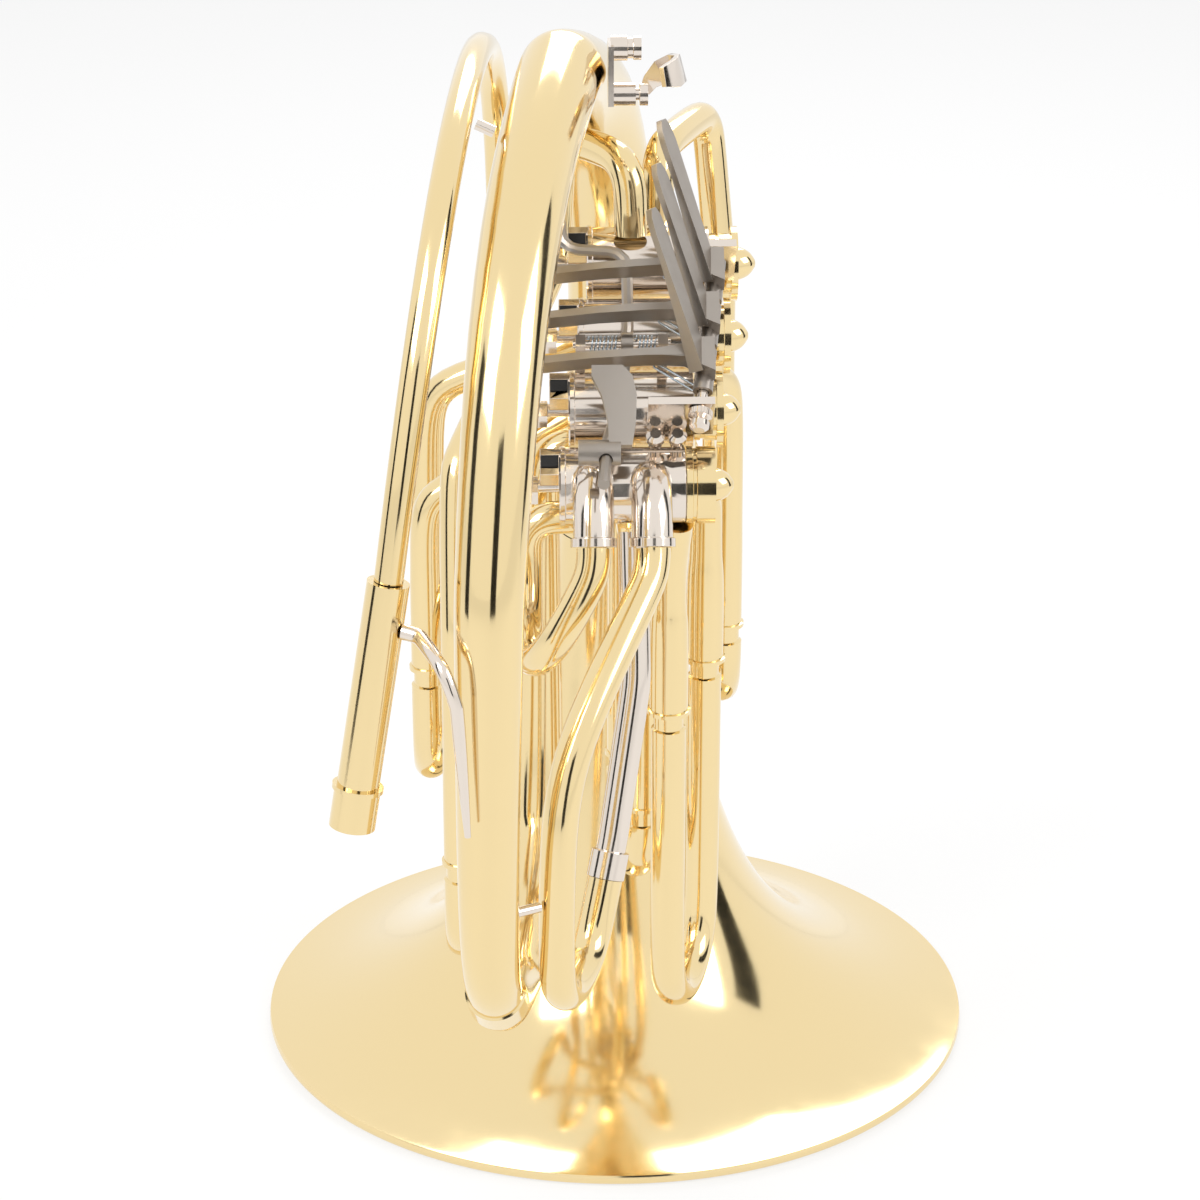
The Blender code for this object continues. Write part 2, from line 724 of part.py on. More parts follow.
def make_sleeves():
    """Tubes from the valves to the slides."""
    reach = CASING_RADIUS + GAP
    out = reach + 12.0 * MM
    port = math.radians(0)
    make_sleeve(
        "tube_f_near",
        [
            valve_point(2, -4 * MM, port, reach),
            valve_point(2, -4 * MM, port, out + 8 * MM),
            below("f", "near", 290),
        ],
        [14 * MM, 16 * MM],
        "f",
        "near",
    )
    make_sleeve(
        "tube_f_far",
        [
            valve_point(3, -3 * MM, port, reach),
            valve_point(3, -3 * MM, port, out + 20 * MM),
            below("f", "far", 320),
        ],
        [16 * MM, 20 * MM],
        "f",
        "far",
    )
    make_sleeve(
        "tube_second_near",
        [at_mm(17, -190, 304), at_mm(15, -185, 284)],
        [40 * MM],
        "second",
        "near",
    )
    make_sleeve(
        "tube_second_far",
        [
            valve_point(1, 16 * MM, port, reach),
            valve_point(1, 16 * MM, port, out),
            below("second", "far", 290),
        ],
        [10 * MM, 12 * MM],
        "second",
        "far",
    )
    make_sleeve(
        "tube_third_near",
        [
            valve_point(0, 1 * MM, port, reach),
            valve_point(0, 1 * MM, port, out - 2 * MM),
            below("third", "near", 270),
        ],
        [12 * MM, 14 * MM],
        "third",
        "near",
    )
    make_sleeve(
        "tube_third_far",
        [
            valve_point(1, 1.5 * MM, port, reach),
            valve_point(1, 1.5 * MM, port, out + 8 * MM),
            below("third", "far", 280),
        ],
        [14 * MM, 16 * MM],
        "third",
        "far",
    )
    make_sleeve(
        "tube_upper_near",
        [
            valve_point(2, 14 * MM, port, reach),
            valve_point(2, 14 * MM, port, out),
            below("upper", "near", 330),
        ],
        [10 * MM, 14 * MM],
        "upper",
        "near",
    )


def make_arches():
    """Crooks over the change valve: one from the main slide, one to the upper slide."""
    foot = top_port(3, -9.5 * MM, -8 * MM)
    make_sleeve(
        "tube_main_near",
        [
            foot,
            Vector((foot.x, foot.y, 424 * MM)),
            at_mm(-24, -88, 424),
            at_mm(-26, -90, 372),
            at_mm(-64, -174, 322),
            below("main", "near", 262),
        ],
        [13 * MM, 13 * MM, 24 * MM, 20 * MM, 60 * MM],
        "main",
        "near",
    )
    inner = top_port(3, 1 * MM, 8 * MM)
    far = below("upper", "far", 360)
    make_sleeve(
        "tube_upper_far",
        [inner, Vector((inner.x, inner.y, 424 * MM)), Vector((far.x - 6 * MM, far.y, 424 * MM)), far],
        [13 * MM, 13 * MM, 20 * MM],
        "upper",
        "far",
    )


def elbow_end(across):
    """Lower end of a near port elbow of the first valve, and its outward corner."""
    corner = row(across, 0, 0) + at_mm(0, -25, 10)
    return corner, corner + at_mm(0, -9, -21)


def make_near_tubes():
    """Short crook and long curved tube in front of the first valve."""
    _, left = elbow_end(-14 * MM)
    _, right = elbow_end(7 * MM)
    fall = at_mm(0, -9, -21).normalized()
    entry = port_entry(0, CASING_LEFT + 12 * MM, 10 * MM)
    crook = route(
        [
            left + fall * GAP,
            left + fall * 9 * MM,
            at_mm(-36, -237, 258),
            at_mm(-39, entry[0].y / MM, 258),
            Vector((-38 * MM, entry[0].y, entry[0].z)),
        ]
        + entry,
        [20 * MM, 26 * MM, 28 * MM, 10 * MM, 8 * MM],
    )
    swept("crook_first", crook, [(0.0, TUBE_RADIUS), (1.0, TUBE_RADIUS)], "brass")
    end = at_mm(-10, -228, 178)
    rise = (end - at_mm(-16, -238, 150)).normalized()
    long = route(
        [
            right + fall * GAP,
            right + fall * 10 * MM,
            at_mm(-28, -281, 246),
            at_mm(-29, -284, 150),
            at_mm(-16, -238, 150),
            end,
        ],
        [24 * MM, 60 * MM, 22 * MM, 20 * MM],
    )
    swept("tube_long", long, [(0.0, TUBE_RADIUS + 0.3 * MM), (1.0, TUBE_RADIUS + 0.3 * MM)], "brass")
    leg = route(
        [end + rise * GAP, end + rise * 16 * MM, at_mm(2, -210, 250), row(1 * MM, -12.5 * MM, -12.5 * MM)],
        [60 * MM, 60 * MM],
    )
    length = distances(leg)[-1]
    ferrule = TUBE_RADIUS + FERRULE_RAISE
    stations = [(0.0, ferrule), (10 * MM, ferrule), (10.4 * MM, INNER_LEG_RADIUS), (length, INNER_LEG_RADIUS)]
    swept("leg_nickel", leg, stations, "nickel")


# Valves


def make_casing(index):
    """Valve casing with its bearing plate, cork holder and, on the first, the near elbows."""
    shift = valve_shift(index)
    along = VALVE_PITCH * index
    centre = row(shift, along, 0)
    radius = CASING_RADIUS
    plate = radius + PLATE_RAISE
    left = CASING_LEFT
    profile = [
        (left, plate - 0.6 * MM),
        (left + 0.5 * MM, plate),
        (left + PLATE_THICKNESS, plate),
        (left + PLATE_THICKNESS, radius),
        (CASING_RIGHT, radius),
    ]
    body = turned("casing_" + VALVES[index], centre, X_AXIS, profile, "nickel")
    holder = block(
        "holder",
        row(shift + left - HOLDER_LENGTH / 2 + 0.5 * MM, along + 3 * MM, HOLDER_ABOVE + HOLDER_HEIGHT / 2),
        (HOLDER_LENGTH + 1.0 * MM, HOLDER_WIDTH, HOLDER_HEIGHT),
        "nickel",
        (X_AXIS, ALONG, ABOVE),
    )
    body = fuse(body, holder)
    if index == 0:
        for across in (-14 * MM, 7 * MM):
            body = fuse(body, elbow(across))
    pocket = block(
        "pocket",
        cork_centre(index) + ABOVE * 5 * MM - X_AXIS * 2 * MM,
        (HOLDER_LENGTH + 4 * MM - GAP, CORK_WIDTH + 2 * GAP, CORK_HEIGHT + 2 * GAP + 10 * MM),
        "nickel",
        (X_AXIS, ALONG, ABOVE),
    )
    hole = rod(
        "hole",
        centre + X_AXIS * (left - HOLDER_LENGTH - 1.0 * MM),
        centre + X_AXIS * (left + SPINDLE_DEPTH + GAP),
        SPINDLE_RADIUS + GAP,
        "nickel",
        16,
    )
    carve(body, pocket, hole)


def elbow(across):
    """Near port elbow with a beaded ferrule."""
    corner, end = elbow_end(across)
    line = route([row(across, 0, 4 * MM), corner, end], [13 * MM])
    length = distances(line)[-1]
    radius = TUBE_RADIUS + 0.7 * MM
    bead = radius + BEAD_RAISE
    stations = [
        (0.0, radius),
        (length - 3.4 * MM, radius),
        (length - 3.2 * MM, bead),
        (length, bead),
    ]
    return swept("elbow", line, stations, "nickel", 16)


def cork_centre(index):
    """Centre of a cork stop in its holder."""
    across = valve_shift(index) + CASING_LEFT - HOLDER_LENGTH / 2
    above = HOLDER_ABOVE + HOLDER_HEIGHT - CORK_HEIGHT / 2 + 0.4 * MM
    return row(across, VALVE_PITCH * index + 3 * MM, above)


def make_cork(index):
    """Black stop block."""
    size = (HOLDER_LENGTH - 2 * GAP, CORK_WIDTH, CORK_HEIGHT)
    block("cork_" + VALVES[index], cork_centre(index), size, "cork", (X_AXIS, ALONG, ABOVE))


def dome(start):
    """Profile of a domed knob from a distance along the cap."""
    steps = 3
    points = [(start, DOME_RADIUS)]
    for i in range(1, steps):
        angle = math.radians(80) * i / (steps - 1)
        points.append((start + DOME_RADIUS * math.sin(angle), DOME_RADIUS * math.cos(angle)))
    return points


def make_cap(index):
    """Screwed cap: grooved band or neck, edge disc and dome."""
    base = row(valve_shift(index) + CASING_RIGHT + GAP, VALVE_PITCH * index, 0)
    length = CAP_LENGTH
    band = CAP_RADIUS if index == 0 else CAP_NECK_RADIUS
    groove = band - CAP_GROOVE
    disc = length - CAP_DISC
    profile = [
        (0.0, band),
        (2.2 * MM, band),
        (2.4 * MM, groove),
        (3.6 * MM, groove),
        (3.8 * MM, band),
        (disc, band),
        (disc, CAP_RADIUS),
        (length, CAP_RADIUS),
        (length, DOME_RADIUS),
    ]
    turned("cap_" + VALVES[index], base, X_AXIS, profile + dome(length + 0.8 * MM), "brass")


def stop_side(index):
    """Sign of the row direction that a stop arm points along."""
    return 1 if index == 3 else -1


def stop_direction(index):
    """Direction of a stop arm at rest."""
    side = stop_side(index)
    return ALONG * side * math.cos(STOP_REST_ANGLE) - ABOVE * side * math.sin(STOP_REST_ANGLE)


def stop_across(index):
    """Sideways place of a stop arm's left face."""
    hub_right = CASING_LEFT - HOLDER_LENGTH - STOP_ARM_CLEAR
    return valve_shift(index) + hub_right - STOP_ARM_THICK


def stop_pin(index):
    """Axis point of a stop arm's pin, on the arm's left face."""
    centre = row(stop_across(index), VALVE_PITCH * index, 0)
    return centre + stop_direction(index) * STOP_ARM_RADIUS


def make_rotor(index):
    """Rotor spindle with its hub, stop arm and pin."""
    left = stop_across(index)
    centre = row(left, VALVE_PITCH * index, 0)
    inner = valve_shift(index) + CASING_LEFT + SPINDLE_DEPTH - left
    profile = [
        (-1.6 * MM, HUB_RADIUS * 0.8),
        (-1.2 * MM, HUB_RADIUS),
        (STOP_ARM_THICK, HUB_RADIUS),
        (STOP_ARM_THICK + 0.2 * MM, SPINDLE_RADIUS),
        (inner, SPINDLE_RADIUS),
    ]
    body = turned("rotor_" + VALVES[index], centre, X_AXIS, profile, "nickel", 16)
    direction = stop_direction(index)
    arm = block(
        "arm",
        centre + X_AXIS * STOP_ARM_THICK / 2 + direction * (STOP_ARM_RADIUS + 2.2 * MM) / 2,
        (STOP_ARM_THICK, STOP_ARM_RADIUS + 2.2 * MM, STOP_ARM_WIDE),
        "nickel",
        (X_AXIS, direction, X_AXIS.cross(direction)),
    )
    pin = stop_pin(index)
    peg = rod("peg", pin + X_AXIS * 1.0 * MM, pin - X_AXIS * STOP_PIN_LENGTH, STOP_PIN_RADIUS, "nickel")
    fuse(body, arm, peg)


def link_top(index):
    """Upper eye of a link, beside the end of its lever."""
    across = stop_across(index) - STOP_PIN_LENGTH - LINK_GAP
    if index == 3:
        end = thumb_corners()[-1]
        return Vector((ROW_START.x + across, end.y, end.z))
    return row(across, lever_along(index) - ARM_SWEEP, ARM_ABOVE - ARM_DROOP)


def make_link(index):
    """Flat link from a lever's end to the stop arm's pin."""
    low = stop_pin(index) - X_AXIS * (STOP_PIN_LENGTH + LINK_GAP + LINK_THICK / 2)
    high = link_top(index) - X_AXIS * LINK_THICK / 2
    high.x = low.x
    span = (high - low).normalized()
    side = X_AXIS.cross(span)
    body = loft(
        "link_" + VALVES[index],
        [
            bar_section(low - span * 2.4 * MM, side, LINK_WIDE * 0.7, X_AXIS, LINK_THICK),
            bar_section(low, side, LINK_WIDE, X_AXIS, LINK_THICK),
            bar_section(high, side, LINK_WIDE, X_AXIS, LINK_THICK),
            bar_section(high + span * 2.4 * MM, side, LINK_WIDE * 0.7, X_AXIS, LINK_THICK),
        ],
        "lever",
    )
    heads = []
    for eye in (low, high):
        end = eye - X_AXIS * (LINK_THICK / 2 + LINK_HEAD)
        heads.append(rod("head", eye, end, LINK_HEAD_RADIUS, "lever"))
    fuse(body, *heads)


# Finger levers


def lever_along(index):
    """Place of a finger lever's arm along the row."""
    return LEVER_FIRST + LEVER_PITCH * index


def make_lever(index):
    """Finger lever: barrel, arm, gusset and touch blade."""
    along = lever_along(index)
    name = "lever_" + VALVES[index]
    hinge = hinge_across(along)
    body = make_blade(name, along, hinge)
    body = fuse(body, make_arm(index, along, hinge), make_gusset(along, hinge))
    low = row(hinge_across(along - 12 * MM), along - 12 * MM, HINGE_ABOVE)
    barrel = rod("barrel", low, low + ROW_AXIS * BARREL_LENGTH, BARREL_RADIUS, "lever", 16)
    bore = rod(
        "bore",
        low - ROW_AXIS * 5 * MM,
        low + ROW_AXIS * (BARREL_LENGTH + 5 * MM),
        HINGE_ROD_RADIUS + GAP,
        "lever",
        16,
    )
    body = fuse(body, barrel)
    carve(body, bore)


def make_arm(index, along, hinge):
    """Arm from the hinge to the link, a plate on edge that droops to its end."""
    end = stop_across(index) - STOP_PIN_LENGTH
    sections = []
    for share in (0.0, 0.3, 0.6, 0.85, 1.0):
        across = hinge - 2 * MM + (end - hinge + 2 * MM) * share
        sag = ARM_DROOP * max(0.0, share - 0.3) ** 1.5 / 0.7**1.5
        sweep = ARM_SWEEP * max(0.0, share - 0.3) ** 1.5 / 0.7**1.5
        centre = row(across, along - sweep, ARM_ABOVE - sag)
        sections.append(bar_section(centre, ABOVE, ARM_DEEP * (1 - 0.1 * share), ALONG, ARM_THICK))
    return loft("arm", sections, "lever")


def make_gusset(along, hinge):
    """Web between the arm, the barrel and the blade."""
    outline = [(3, -8), (3, 6), (-5, 6), (-9, 3.2), (-18, 1.4), (-18, -1.4), (-8, -2), (-3, -5)]
    rings = []
    for above in (ARM_ABOVE - ARM_DEEP / 2 + 0.2 * MM, ARM_ABOVE + ARM_DEEP / 2 - 0.2 * MM):
        rings.append([row(hinge + x * MM, along + y * MM, above) for x, y in outline])
    return loft("gusset", rings, "lever")


def make_blade(name, along, hinge):
    """Touch blade that rises and leans from the hinge, thick at the root."""
    root = Vector((hinge, along - 5 * MM, ARM_ABOVE + 0.5 * MM))
    tip = root + Vector((BLADE_ACROSS, BLADE_ALONG, BLADE_RISE))
    reach = (tip - root).normalized()
    face = Vector((0.85, 0.0, 0.53))
    face = (face - reach * face.dot(reach)).normalized()
    wide = reach.cross(face)
    shares = ((0.0, 0.75), (0.3, 0.8), (0.65, 0.95), (0.86, 1.0), (0.95, 0.82), (1.0, 0.4))
    sections = []
    for share, width in shares:
        thick = BLADE_ROOT_THICK + (BLADE_THICK - BLADE_ROOT_THICK) * min(1.0, share / 0.6)
        centre = root.lerp(tip, share) - face * thick / 2
        corners = bar_section(centre, wide, BLADE_WIDTH * width, face, thick)
        sections.append([row(*corner) for corner in corners])
    return loft(name, sections, "lever")


def make_hairpin(index):
    """Wire spring under a finger lever's arm."""
    along = lever_along(index)
    hinge = hinge_across(along)
    start = hinge - BARREL_RADIUS - 0.8 * MM
    far = start - HAIRPIN_REACH * 0.75
    height = HINGE_ABOVE - 2.5 * MM
    half = HAIRPIN_WIDTH / 2
    corners = [
        row(start, along - 9 * MM - half, height),
        row(far, along + 0.5 * MM - half, height + 1 * MM),
        row(far, along + 0.5 * MM + half, height + 1 * MM),
        row(start, along - 9 * MM + half, height),
    ]
    line = route(corners, [half * 0.7, half * 0.7])
    swept("spring_" + VALVES[index], line, [(0.0, HAIRPIN_WIRE), (1.0, HAIRPIN_WIRE)], "steel", 6)


def make_lever_stand():
    """Hinge rod with its end knob, two plates and feet on the casings."""
    low = row(hinge_across(STAND_START), STAND_START, HINGE_ABOVE)
    length = (STAND_END + STAND_PLATE - STAND_START) / ROW_AXIS.dot(ALONG)
    body = turned(
        "lever_stand",
        low - ROW_AXIS * 9 * MM,
        ROW_AXIS,
        [
            (0.0, KNOB_RADIUS * 0.5),
            (1.4 * MM, KNOB_RADIUS * 0.85),
            (3.4 * MM, KNOB_RADIUS * 0.85),
            (4.6 * MM, KNOB_RADIUS * 0.55),
            (5.4 * MM, KNOB_RADIUS),
            (8.0 * MM, KNOB_RADIUS),
            (8.6 * MM, HINGE_ROD_RADIUS),
            (length + 9 * MM, HINGE_ROD_RADIUS),
        ],
        "nickel",
        16,
    )
    body = fuse(body, stand_plate(STAND_START, -19 * MM, 1 * MM, 14.5 * MM))
    body = fuse(body, stand_plate(STAND_END, -10 * MM, 3 * MM, 13 * MM))
    hinge = hinge_across(STAND_START)
    feet = [stand_foot(0, hinge - side * MM, STAND_START - 2.5 * MM) for side in (16, 8)]
    top = hinge_across(STAND_END) - 4 * MM
    feet.append(stand_foot(3, top, STAND_END + STAND_PLATE + 1.5 * MM))
    fuse(body, *feet)


def stand_plate(along, left, right, low):
    """Upright plate that holds the hinge rod."""
    hinge = hinge_across(along)
    high = HINGE_ABOVE + BARREL_RADIUS
    centre = row(hinge + (left + right) / 2 + 2 * MM, along + STAND_PLATE / 2, (low + high) / 2)
    size = (right - left + 4 * MM, STAND_PLATE, high - low)
    return block("plate", centre, size, "nickel", (X_AXIS, ALONG, ABOVE))


def stand_foot(index, across, along):
    """Ball foot that stands on a casing."""
    near = abs(along - VALVE_PITCH * index) - STAND_FOOT_RADIUS
    surface = math.sqrt(CASING_RADIUS**2 - near**2)
    base = row(across, along, surface + GAP)
    profile = [
        (0.0, STAND_FOOT_RADIUS),
        (2.4 * MM, STAND_FOOT_RADIUS),
        (4.0 * MM, STAND_FOOT_RADIUS * 1.35),
        (6.4 * MM, STAND_FOOT_RADIUS * 1.35),
        (8.0 * MM, STAND_FOOT_RADIUS * 0.8),
    ]
    return turned("foot", base, ABOVE, profile, "nickel", 12)


# Thumb lever


def thumb_corners():
    """Corners of the bent thumb rod, from its lower end to the change valve's link."""
    change = VALVE_PITCH * 3
    end = stop_across(3) - STOP_PIN_LENGTH + 4.0 * MM
    return [
        row(-11 * MM, -27 * MM, 50 * MM),
        row(-9 * MM, -4 * MM, 40 * MM),
        row(-4 * MM, 20 * MM, 23.5 * MM),
        row(-0.8 * MM, THUMB_ALONG, THUMB_ABOVE),
        row(0, THUMB_ALONG + 13 * MM, 19 * MM),
        row(0, change - 7 * MM, 19 * MM),
        row(end + 2 * MM, change - 5 * MM, 19 * MM),
        row(end, change + 19 * MM, 21 * MM),
    ]


def make_thumb_lever():
    """Bent round rod on a hub, with the pin at its upper end."""
    corners = thumb_corners()
    line = route(corners, [40 * MM, 30 * MM, 20 * MM, 20 * MM, 7 * MM, 7 * MM])
    stations = [(0.0, THUMB_ROD_RADIUS), (1.0, THUMB_ROD_RADIUS)]
    body = swept("thumb_lever", line, stations, "lever", SMALL_SIDES)
    hub = rod(
        "hub",
        row(THUMB_HUB_LEFT, THUMB_ALONG, THUMB_ABOVE),
        row(THUMB_HUB_RIGHT, THUMB_ALONG, THUMB_ABOVE),
        THUMB_HUB_RADIUS,
        "lever",
        16,
    )
    end = corners[-1] - (corners[-1] - corners[-2]).normalized() * THUMB_ROD_RADIUS
    face = stop_across(3) - STOP_PIN_LENGTH
    pin_end = Vector((ROW_START.x + face, end.y, end.z))
    pin = rod("pin", end, pin_end, STOP_PIN_RADIUS, "lever")
    bore = rod(
        "bore",
        row(THUMB_HUB_LEFT - 2 * MM, THUMB_ALONG, THUMB_ABOVE),
        row(THUMB_HUB_RIGHT + 2 * MM, THUMB_ALONG, THUMB_ABOVE),
        THUMB_PIVOT_RADIUS + GAP,
        "lever",
        16,
    )
    body = fuse(body, hub, pin)
    carve(body, bore)


def clamp_point():
    """Point of the thumb rod where the paddle's clamp sits."""
    corners = thumb_corners()
    return corners[0].lerp(corners[1], 0.74)


def make_thumb_paddle():
    """Paddle with a clamp barrel round the thumb rod."""
    seat = clamp_point()
    corners = thumb_corners()
    direction = (corners[1] - corners[0]).normalized()
    left = seat - X_AXIS * (CLAMP_LENGTH - 5 * MM)
    barrel = rod("thumb_paddle", left, left + X_AXIS * CLAMP_LENGTH, CLAMP_RADIUS, "lever", 16)
    outline = ((1.0, 9.0, 1.0, 2.5), (0.5, 10.5, 10.0, 4.5), (-1.5, 11.0, 19.0, 6.5))
    outline += ((-5.0, 9.5, 26.0, 8.5), (-5.0, 6.0, 29.5, 9.8))
    sections = []
    for x0, x1, along, above in outline:
        middle = seat + X_AXIS * (x0 + x1) / 2 * MM + ALONG * along * MM + ABOVE * above * MM
        sections.append(bar_section(middle, X_AXIS, (x1 - x0) * MM, ABOVE, PADDLE_THICK))
    body = fuse(barrel, loft("paddle", sections, "lever"))
    hole = rod(
        "hole",
        seat - direction * 12 * MM,
        seat + direction * 12 * MM,
        THUMB_ROD_RADIUS + GAP,
        "lever",
        16,
    )
    carve(body, hole)


def make_thumb_stand():
    """Pivot rod of the thumb lever between two posts on the second casing."""
    left = THUMB_POST_LEFT - THUMB_POST_THICK
    right = THUMB_POST_RIGHT + THUMB_POST_THICK
    body = rod(
        "thumb_stand",
        row(left - 1 * MM, THUMB_ALONG, THUMB_ABOVE),
        row(right + 1 * MM, THUMB_ALONG, THUMB_ABOVE),
        THUMB_PIVOT_RADIUS,
        "nickel",
        16,
    )
    near = THUMB_ALONG - THUMB_POST_WIDE / 2 - VALVE_PITCH
    low = math.sqrt(CASING_RADIUS**2 - near**2) + GAP
    high = THUMB_ABOVE + 2.6 * MM
    posts = []
    for across in (left + THUMB_POST_THICK / 2, right - THUMB_POST_THICK / 2):
        centre = row(across, THUMB_ALONG, (low + high) / 2)
        size = (THUMB_POST_THICK, THUMB_POST_WIDE, high - low)
        posts.append(block("post", centre, size, "nickel", (X_AXIS, ALONG, ABOVE)))
    fuse(body, *posts)


def make_coil(side):
    """Coil spring between a post and the hub, as one unbroken wire."""
    if side == "left":
        start, end = THUMB_POST_LEFT + GAP, THUMB_HUB_LEFT - GAP
    else:
        start, end = THUMB_HUB_RIGHT + GAP, THUMB_POST_RIGHT - GAP
    straight = 2 * COIL_WIRE
    turns = COIL_TURNS[side]
    count = round(turns * COIL_POINTS)
    points = [coil_point(start, 0.0)]
    for i in range(count + 1):
        across = start + straight + (end - start - 2 * straight) * i / count
        points.append(coil_point(across, 2 * math.pi * turns * i / count))
    points.append(coil_point(end, 2 * math.pi * turns))
    gap = coil_gap(points)
    print("coil_%s: least gap to itself %.3f mm" % (side, gap / MM))
    swept("coil_" + side, points, [(0.0, COIL_WIRE), (1.0, COIL_WIRE)], "steel", 5)


def coil_point(across, angle):
    """Point of a coil's centre line."""
    along = THUMB_ALONG + COIL_RADIUS * math.sin(angle)
    return row(across, along, THUMB_ABOVE + COIL_RADIUS * math.cos(angle))


def coil_gap(points):
    """Least clear distance between neighbouring turns, measured on the points."""
    least = 1.0
    for i, a in enumerate(points):
        for b in points[i + COIL_POINTS - 2 :]:
            least = min(least, (a - b).length - 2 * COIL_WIRE)
    return least


# Little-finger hook


def hook_face():
    """Sideways place of the tail's right flank under the hook."""
    top = point_near(loop_route(), Vector((-30 * MM, HOOK_Y, LOOP_TOP)))
    slope = 0.9 * LOOP_SPIRAL / abs(LOOP_NEAR_Y)
    return top.x + TAIL_TOP_RADIUS + GAP + (slope + 0.03) * HOOK_PLATE_WIDE / 2


def make_hook_base():
    """Plate on the tail with two barrels for the hook's stem and screw."""
    left = hook_face()
    middle = Vector((left + HOOK_PLATE / 2, HOOK_Y, LOOP_TOP))
    body = block("hook_base", middle, (HOOK_PLATE, HOOK_PLATE_WIDE, 22 * MM), "nickel")
    upper = turned(
        "upper",
        Vector((left + HOOK_PLATE / 2, HOOK_Y, LOOP_TOP + 9 * MM)),
        X_AXIS,
        [
            (0.0, 4.6 * MM),
            (6 * MM, 4.6 * MM),
            (6.2 * MM, 3.8 * MM),
            (8 * MM, 3.8 * MM),
            (8.2 * MM, 4.4 * MM),
            (11 * MM, 4.4 * MM),
        ],
        "nickel",
        16,
    )
    lower = rod(
        "lower",
        Vector((left + HOOK_PLATE / 2, HOOK_Y, LOOP_TOP - 8 * MM)),
        Vector((left + 10 * MM, HOOK_Y, LOOP_TOP - 8 * MM)),
        HOOK_BARREL_RADIUS,
        "nickel",
        16,
    )
    body = fuse(body, upper, lower)
    bore = rod(
        "bore",
        Vector((left + HOOK_PLATE + 1 * MM, HOOK_Y, LOOP_TOP - 8 * MM)),
        Vector((left + 20 * MM, HOOK_Y, LOOP_TOP - 8 * MM)),
        HOOK_STEM_RADIUS + GAP,
        "nickel",
        16,
    )
    carve(body, bore)


def make_hook():
    """Hook band on a stem that slides in the lower barrel."""
    left = hook_face()
    z = LOOP_TOP - 8 * MM
    stem = turned(
        "finger_hook",
        Vector((left + HOOK_PLATE + 2 * MM, HOOK_Y, z)),
        X_AXIS,
        [(0.0, HOOK_STEM_RADIUS), (7.3 * MM, HOOK_STEM_RADIUS), (7.5 * MM, 4.2 * MM), (10.5 * MM, 4.2 * MM)],
        "nickel",
        16,
    )
    start = Vector((left + HOOK_PLATE + 12.5 * MM, HOOK_Y, z))
    turns = [(-1, 0, 1), (1, -1, 5), (5, -3, 9), (9, -9, 12), (11, -17, 13.5), (9, -26, 14), (4, -32, 14)]
    points = [start + at_mm(x, y, up) for x, y, up in turns]
    wide = Vector((-0.25, 0.0, 0.97)).normalized()
    sections = []
    for i, point in enumerate(points):
        ahead = points[min(i + 1, len(points) - 1)]
        behind = points[max(i - 1, 0)]
        direction = (ahead - behind).normalized()
        across = (wide - direction * wide.dot(direction)).normalized()
        width = HOOK_BAND_WIDE * HOOK_BAND_SHARES[i]
        sections.append(bar_section(point, across, width, direction.cross(across), HOOK_BAND))
    fuse(stem, loft("band", sections, "nickel"))


# Stays


def make_clip():
    """Two-winged clip between the tail and the long tube."""
    a = point_near(loop_route(), at_mm(-52, -297, 196))
    b = at_mm(-28.5, -283, 196)
    span = (b - a).normalized()
    start = a + span * (TAIL_END_RADIUS + FERRULE_RAISE + GAP)
    end = b - span * (TUBE_RADIUS + 0.3 * MM + GAP)
    rod("tail_clip", start, end, STAY_RADIUS, "nickel")


def make_parts():
    """All solids."""
    make_bell()
    make_tail()
    make_branch()
    make_leadpipe()
    make_receiver()
    make_receiver_brace()
    make_saddle()
    make_sleeves()
    make_arches()
    make_near_tubes()
    for slide in SLIDES:
        make_bow(slide)
    for index in range(4):
        make_casing(index)
        make_cork(index)
        make_cap(index)
        make_rotor(index)
        make_link(index)
    for index in range(3):
        make_lever(index)
        make_hairpin(index)
    make_lever_stand()
    make_thumb_lever()
    make_thumb_paddle()
    make_thumb_stand()
    make_coil("left")
    make_coil("right")
    make_hook_base()
    make_hook()
    make_clip()


def set_pivot(name, point):
    """Put a moving piece's origin on its joint's axis."""
    piece = bpy.data.objects[name]
    piece.data.transform(Matrix.Translation(-point))
    piece.location = point


def set_pivots():
    """Origins of all pieces that turn."""
    for index, valve in enumerate(VALVES):
        set_pivot("rotor_" + valve, row(valve_shift(index), VALVE_PITCH * index, 0.0))
        set_pivot("link_" + valve, stop_pin(index))
    for index in range(3):
        along = lever_along(index)
        for stem in ("lever_", "spring_"):
            set_pivot(stem + VALVES[index], row(hinge_across(along), along, HINGE_ABOVE))
    for name in ("thumb_lever", "thumb_paddle"):
        set_pivot(name, row(THUMB_HUB_LEFT, THUMB_ALONG, THUMB_ABOVE))


def centre_depth():
    """Bring the middle of the object's depth over the world's origin."""
    bpy.context.view_layer.update()
    pieces = [piece for piece in bpy.data.objects if piece.type == "MESH"]
    depths = [(piece.matrix_world @ vertex.co).y for piece in pieces for vertex in piece.data.vertices]
    shift = -(min(depths) + max(depths)) / 2.0
    print("depth shift: %.5f m" % shift)
    for piece in pieces:
        piece.location.y += shift


for old in list(bpy.data.objects):
    bpy.data.objects.remove(old)
make_parts()
set_pivots()
centre_depth()
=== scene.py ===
"""Looks of a double french horn that stands on its bell: finishes, smooth skins, light and camera."""

import json
import logging
import math
from dataclasses import dataclass
from enum import Enum

